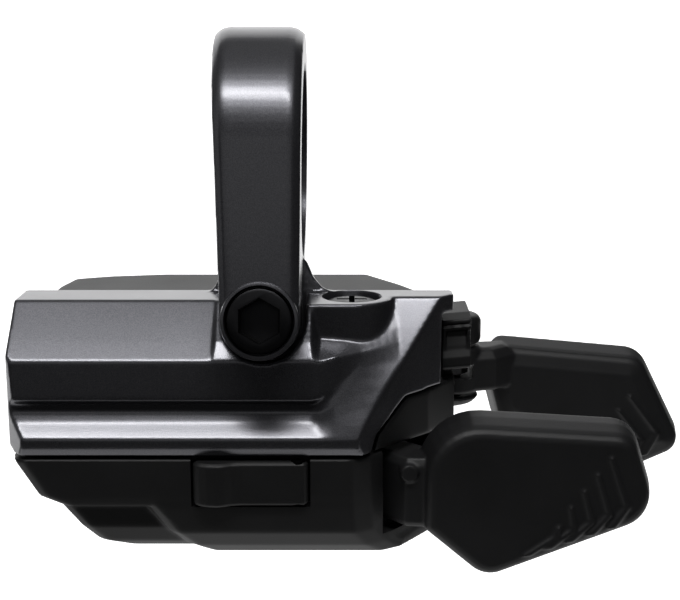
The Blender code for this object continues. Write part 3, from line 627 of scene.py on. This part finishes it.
def upper_housing():
    roof = [(-26.6, -1.9), (20.2, -1.9), (20.2, 6.2), (19.2, 7.6), (17.0, 12.2), (12.8, 19.2),
            (-14.0, 19.2), (-21.0, 17.9), (-25.6, 16.0), (-26.5, 11.0)]
    shell = plan("shell", roof, (-30.5, 0), (-17.9, 0), (-17.2, 0.2), (-16.9, 0.8))
    skirt_outline = [(11.25, -15.15), (19.0, -7.45), (22.4, -2.4), (22.4, 6.2), (10.0, 6.2), (10.0, -14.0)]
    skirt = plan("skirt", skirt_outline, (-30.5, 0), (-24.8, 0))
    above = [(9, -10), (9, -33), (12.6, -33)] + [(x + 0.3, z - 0.25) for x, z in SIDE_SEAM[:3]]
    above += [(26.3, -24.65), (26.3, -10)]
    cut(skirt, curtain("above_seam", above, (-20, 0), (-2.1, 0)))
    lug = turned("lug", [(3.4, -24.0), (3.5, -23.6), (3.5, -21.2), (3.1, -20.6), (2.2, -20.4)], PIVOT, 48)
    web = block("web", (17.6, 8.6, -24.0), (23.3, 13.2, -20.9))
    housing = cast(together("upper_moulding", shell, skirt, lug, web), 0.25, 4, 70000)
    rooms = [
        plan("inside", inset(roof, 1.5), (-34, 0), (-18.3, 0)),
        block("forward", (-25.0, -4, -34), (18.7, 3, -18.3)),
        plan("skirt_room", [(9, -20), (11.4, -12.9), (18.0, -6.2), (20.6, -2.4), (20.6, 4.6), (9, 4.6)],
             (-34, 0), (-25.1, 0)),
        block("leg_room", (-7.2, -4, -26), (9.2, 3.6, -14)),
        block("release_slot", (16.4, 5.4, -28.6), (21, 15, -26.2)),
        turned("hub_room", [(4.0, -34), (4.0, -24.1)], PIVOT, 48),
        turned("pin_bore", [(1.3, -36), (1.3, -21.6)], PIVOT, 24),
        turn(turned("cable_way", [(2.9, -40), (2.9, -10)], sides=48), OUTBOARD,
             Matrix.Translation((0, 14.0 * MM, -29.3 * MM)))]
    cut(housing, *rooms)
    return done(housing, "housing_plastic", "housing", "black_plastic", "upper_housing")


upper_housing()

# %% [markdown]
# ## The base
# The tray below the seam has a deep upper band, and under its left half a recessed foot whose edge
# sweeps down to the bottom. The main lever comes out through a slot in its right-hand corner.


# %% Base
def base_outline(left, front, right, back):
    corner = front + 26.6
    return [(left, front + 2.4), (left + 0.4, front + 0.7), (left + 1.6, front), (corner - 0.9, front),
            (corner + 1.2, front + 1.2), (right, right - 24.9), (right, 6.2), (19.3, 6.9),
            (19.3, 13.4), (14.0, back), (left + 13.2, back), (left + 7.0, back - 1.3),
            (left + 1.8, back - 4.5), (left + 0.6, 8.0)]


def base_tier(name, *levels):
    return solid(name, [[(x, y, z) for x, y in base_outline(*sides)] for z, sides in levels])


AXLE = (3.0, 5.5)


def polar(centre, radius, degrees):
    return (centre[0] + radius * cos(radians(degrees)), centre[1] + radius * sin(radians(degrees)))


def base():
    band = base_tier("band", (-30.8, (-26.9, -15.5, 22.4, 19.3)), (-31.2, (-26.8, -15.5, 22.4, 19.3)),
                     (-35.2, (-24.3, -15.45, 22.4, 19.2)), (-36.3, (-21.8, -15.3, 22.4, 19.0)))
    foot = base_tier("foot", (-35.4, (-23.4, -13.9, 22.0, 19.0)), (-39.2, (-20.2, -13.8, 21.7, 18.8)),
                     (-41.2, (-18.4, -12.9, 21.2, 18.2)), (-42.2, (-15.6, -11.6, 20.6, 17.8)))
    keel = base_tier("keel", (-34.0, (-14.5, -15.4, 22.3, 19.1)), (-36.3, (-12.6, -15.4, 22.2, 19.0)),
                     (-39.4, (-10.2, -15.1, 22.0, 18.8)), (-41.4, (-8.3, -13.7, 21.5, 18.4)),
                     (-42.85, (-6.4, -11.9, 20.5, 17.6)))
    lug = turned("lower_lug", [(1.6, -32.2), (2.6, -31.8), (3.2, -31.2), (3.4, -30.8)], PIVOT, 48)
    web = block("lower_web", (18.4, 8.8, -32.2), (23.3, 13.0, -30.8))
    port = [(-7.25, -36.3), (5.75, -36.3), (5.75, -28), (-7.25, -28)]
    tray = cast(together("base_moulding", band, foot, keel, lug, web), 0.25, 4, 90000)
    inner = [[(p.x, p.y, z + (1 if z > -31 else 0)) for p in inset(base_outline(*sides), 1.5)]
             for z, sides in ((-30.9, (-26.4, -15.5, 22.3, 19.3)), (-35.6, (-21.9, -15.2, 22.2, 19.1)),
                              (-37.0, (-21.0, -13.6, 22.0, 18.9)), (-41.0, (-17.4, -13.2, 21.0, 18.1)))]
    hollow = solid("hollow", inner)
    cut(hollow, block("port_block", (-9, -16, -38.5), (8, -12.2, -28)))
    sweep = arc(AXLE, 30, -59.5, -15, 12) + [polar(AXLE, 12.6, -15), polar(AXLE, 12.6, -59.5)]
    tools = [hollow, plan("lever_slot", sweep, (-40.5, 0), (-28, 0)),
             curtain("flap_pocket", port, (-20, 0), (-13.6, 0)),
             turn(turned("cable_port", [(1.9, -20), (1.9, -11)], sides=32), FORWARD,
                  Matrix.Translation((-1 * MM, 0, -33.6 * MM))),
             turned("release_pin_hole", [(1.3, -36), (1.3, -28)], PIVOT, 24),
             turn(turned("cable_way", [(2.9, -40), (2.9, -10)], sides=48), OUTBOARD,
                  Matrix.Translation((0, 14.0 * MM, -29.3 * MM)))]
    for place in ((-9.0, -5.0), (-7.0, 13.0), (10.0, 12.5)):
        tools.append(turned("screw_way", [(2.5, -45), (2.3, -42.2), (1.3, -42.1), (1.3, -38)], place, 32))
    cut(tray, *tools)
    return done(tray, "housing_plastic", "housing", "black_plastic", "base_housing")


base()

# %% [markdown]
# ## The cable port flap
# The small door in the front of the base has a finger swell at its left end and turns about a pin at its
# right end. Its plan outline is extruded upward, so the swell shows along its top and bottom edges. The
# pin is made again with the door, because it stays inside it.


# %% Flap
def flap():
    pivot_x, pivot_y = 4.4, -15.1
    front_line = [(-7.0, -13.95), (-7.0, -15.4), (-6.8, -15.9), (-6.3, -16.3), (-5.4, -16.6), (-4.3, -16.7),
                  (-3.5, -16.5), (-2.7, -16.15), (-1.7, -16.0), (3.6, -16.0)]
    outline = front_line + arc((pivot_x, pivot_y), 1.12, -50, 90, 8)
    door = plan("port_flap", outline, (-36.05, 0.4), (-35.75, 0), (-31.35, 0), (-31.05, 0.4))
    cast(door, 0.14, 3, 40000)
    cut(door, turned("flap_bore", [(0.8, -40), (0.8, -28)], (pivot_x, pivot_y), 24))
    done(door, "housing_plastic", "flap", "black_plastic", "cable_port_flap")
    pin = turned("flap_pivot", [(0.6, -35.9), (0.6, -31.0)], (pivot_x, pivot_y), 24)
    done(pin, "black_steel", "housing", "plated_steel", "flap_pin")


flap()

# %% [markdown]
# ## The lever guide
# A ribbed block closes the right-hand end under the cover's overhang.


# %% Lever guide
def lever_guide():
    profile = [(3.4, -23.8), (-4.4, -23.8), (-4.7, -23.4), (-4.65, -22.4), (-4.2, -21.5), (-4.1, -21.1),
               (-3.5, -19.4), (-4.2, -19.25), (-4.3, -18.9), (-3.85, -18.7), (-4.1, -18.5),
               (-4.05, -18.1), (-2.2, -17.6), (3.4, -17.5)]
    guide = solid("ribbed_guide", [[(x, y, z + 0.09 * (x - 20.75)) for y, z in profile]
                                   for x in (20.75, 24.05)])
    rim = [block("rim", (x, -4.25, -21.6), (x + 0.35, 3.0, -19.2)) for x in (20.8, 23.6)]
    cast(together("ribbed_guide", guide, *rim), 0.11, 3, 50000)
    return done(guide, "housing_plastic", "housing", "black_plastic", "lever_guide")


lever_guide()

# %% [markdown]
# ## The paddles
# Each thumb paddle is a thick plate with a broad rounded edge, wider at the back than at the face. The
# outline is a few corners with radii, and chevron ribs stand on the face for grip.

# %% Paddle outlines: corners (x, z, radius), counter-clockwise as the rider sees them
MAIN_CORNERS = [(17.9, -39.5, 1.5), (25.0, -45.5, 3.5), (44.5, -37.9, 4.2), (41.3, -28.0, 3.2),
                (17.9, -26.6, 6.4)]
RELEASE_CORNERS = [(27.8, -30.0, 1.0), (29.2, -35.2, 2.0), (46.5, -42.2, 3.5), (54.2, -38.7, 2.6),
                   (47.9, -26.3, 3.4), (29.0, -24.6, 1.4)]


def paddle(name, corners, *levels):
    """A plate through (y, inset) levels, its corner radii shrinking with the inset."""
    plain = [corner[:2] for corner in corners]
    layers = []
    for y, draw in levels:
        radii = [max(radius - draw, 0.3) for _, _, radius in corners]
        drawn = [(*point, radius) for point, radius in zip(inset(plain, draw), radii)]
        layers.append([(x, y, z) for x, z in rounded(drawn)])
    return solid(name, layers)


def chevron(foot, tip, start, face):
    """A grip rib that bends at its tip, thicker at its foot, standing a little off the face."""
    outline = [(foot[0] + 0.5, foot[1] + 0.1), (tip[0] + 0.35, tip[1]), (start[0] + 0.22, start[1]),
               (start[0] - 0.22, start[1]), (tip[0] - 0.35, tip[1] + 0.1), (foot[0] - 0.5, foot[1])]
    return curtain("rib", outline, (face - 0.36, 0.16), (face - 0.18, 0), (face + 1.2, 0))


# %% Main paddle
def main_paddle():
    face = -15.2
    body = paddle("main_body", MAIN_CORNERS, (face, 1.6), (-15.05, 1.1), (-14.6, 0.65),
                  (-13.9, 0.4), (-12.0, 0.0), (-10.2, -0.2), (-9.7, 0), (-9.4, 0.6))
    arm_line = radians(-50.5)
    start = Vector(polar(AXLE, 13.6, -50.5))
    side = Vector((-sin(arm_line), cos(arm_line))) * 2.4
    arm_outline = [tuple(start - side), (16.2, -13.6), (20.4, -14.0), (20.6, -10.4), tuple(start + side)]
    arm = plan("main_arm", arm_outline, (-39.4, 0.4), (-38.8, 0), (-32.3, 0), (-31.4, 0.5))
    boss = turn(turned("boss", [(0.9, -14.1), (1.05, -13.8), (1.15, -12.0)], sides=32), FORWARD,
                Matrix.Translation((16.6 * MM, 0, -33.0 * MM)))
    ribs = [chevron((38.7 - 2.3 * i, -38.9 - 0.8 * i), (40.4 - 1.9 * i, -36.4 - 0.85 * i),
                    (38.4 - 1.4 * i, -30.7 - 1.87 * i) if i < 4 else (33.0, -38.6), face) for i in range(5)]
    lever = cast(together("main_thumb_paddle", body, arm, boss, *ribs), 0.19, 3, 120000)
    room = [polar(AXLE, 11.0, -70.5), polar(AXLE, 18.9, -59.1), polar(AXLE, 18.9, -41.9),
            polar(AXLE, 11.0, -30.5)]
    cut(lever, plan("tang_room", room, (-35.5, 0), (-33.3, 0)))
    return done(lever, "lever_plastic", "main_lever", "lever_plastic", "main_lever_paddle")


main_paddle()


# %% Release paddle
def release_paddle():
    face = 11.3
    body = paddle("release_body", RELEASE_CORNERS, (face, 2.7), (11.45, 2.3), (11.85, 1.1),
                  (12.3, 0.6), (13.1, 0.35), (15.9, -0.2), (16.3, 0), (16.6, 0.6))
    hub = turned("release_hub", [(3.2, -30.3), (3.55, -30.0), (3.55, -24.9), (3.1, -24.4)], PIVOT, 48)
    arm_outline = [(22.7, 7.6), (28.7, 9.3), (31.2, 11.6), (31.6, 15.8), (27.0, 15.2), (23.3, 14.2)]
    arm = plan("release_arm", arm_outline, (-30.2, 0.4), (-29.8, 0), (-26.1, 0), (-25.1, 0.8), (-24.8, 1.6))
    ribs = [chevron((48.3 - 2.2 * i, -39.5 - 0.8 * i), (49.9 - 1.95 * i, -36.4 - 0.9 * i),
                    (46.1 - 1.4 * i, -31.4 - 1.8 * i), face) for i in range(3)]
    lever = cast(together("release_thumb_paddle", body, hub, arm, *ribs), 0.19, 3, 120000)
    cut(lever, turned("hub_bore", [(1.3, -36), (1.3, -20)], PIVOT, 24),
        block("tail_room", (15.3, 3.0, -28.3), (25.7, 19, -26.5)))
    return done(lever, "lever_plastic", "release_lever", "lever_plastic", "release_lever_paddle")


release_paddle()

# %% [markdown]
# ## The barrel adjuster
# The knob that trims the cable turns at the left-hand end of the back. Flats round its rim give grip.


# %% Barrel adjuster
def barrel_adjuster():
    knob = turned("trim_knob", [(3.0, -6.4), (3.0, -5.5), (4.25, -5.0), (4.25, -0.6), (3.8, -0.1), (1.9, 0)],
                  sides=72)
    cut(knob, turned("knob_bore", [(1.3, -8), (1.3, 2)], sides=32))
    for i in range(12):
        flute = turned("flute", [(0.5, -4.4), (0.5, 1.0)], polar((0, 0), 4.45, 30 * i), 16)
        cut(knob, flute)
    place = Matrix.Translation((-33.4 * MM, 14.0 * MM, -29.3 * MM))
    turn(knob, Matrix.Rotation(radians(-90), 4, "Y"), place)
    return done(knob, "housing_plastic", "adjuster", "black_plastic", "barrel_adjuster", angle=25)


barrel_adjuster()

# %% [markdown]
# ## The set
# A pale floor runs back into a pale wall in one sweep, so no horizon shows. The part hangs over it, as it
# does under a handlebar. Floor and wall glow white by their own emission, so no shadow shows on them. Their
# colour and glow are painted dark towards the front and far to the right, where the part would mirror them,
# so the part's front and side faces show a painted dark reflection.


# %% Floor and wall
FLOOR_DROP = 65


def sweep():
    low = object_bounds()[0].z / MM - FLOOR_DROP
    profile = [(-900, low), (350, low)] + [(350 + 250 * sin(radians(a)), low + 250 - 250 * cos(radians(a)))
                                           for a in range(10, 91, 10)] + [(600, low + 700)]
    bpy.ops.object.select_all(action="DESELECT")
    bpy.ops.mesh.primitive_plane_add(size=1)
    floor = bpy.context.object
    floor.name = "floor"
    corners = [(x, *point) for point in profile[:2] for x in (-900, 900)]
    move_onto(floor, range(4), corners)
    for first, second in zip(profile[1:], profile[2:]):
        bpy.ops.object.mode_set(mode="EDIT")
        bpy.ops.mesh.select_all(action="DESELECT")
        bpy.ops.object.mode_set(mode="OBJECT")
        start = Vector((first[0] * MM, first[1] * MM))
        for edge in floor.data.edges:
            ends = [floor.data.vertices[number].co for number in edge.vertices]
            edge.select = all((end.yz - start).length < 1e-4 for end in ends)
        bpy.ops.object.mode_set(mode="EDIT")
        bpy.ops.mesh.select_mode(type="EDGE")
        bpy.ops.mesh.extrude_region_move(TRANSFORM_OT_translate={
            "value": (0, (second[0] - first[0]) * MM, (second[1] - first[1]) * MM)})
        bpy.ops.mesh.select_mode(type="VERT")
        bpy.ops.object.mode_set(mode="OBJECT")
    material, shader, place = finish_of("glowing_backdrop_painted_dark", (0.80, 0.80, 0.80), 0.9, specular=0.1)
    depth = place.node("ShaderNodeSeparateXYZ", Vector=place)
    # Painted dark towards the front and far to the right: this mask darkens the floor's colour and glow
    # alike, so the part mirrors a painted dark reflection there.
    forward = Shade(depth.tree, depth.socket.node.outputs["Y"]).ramp(0.06, 0.115)
    forward = forward * Shade(depth.tree, depth.socket.node.outputs["X"]).ramp(0.34, 0.24)
    place.feed(shader.inputs["Base Color"], forward.mix((0.02, 0.02, 0.02, 1), (0.80, 0.80, 0.80, 1)))
    place.feed(shader.inputs["Emission Color"], forward.mix((0.01, 0.01, 0.01, 1), (1, 1, 1, 1)))
    # The floor glows by its own emission, so it stays white and no shadow shows on it.
    shader.inputs["Emission Strength"].default_value = 1.0
    floor.data.materials.append(material)
    floor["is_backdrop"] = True


sweep()
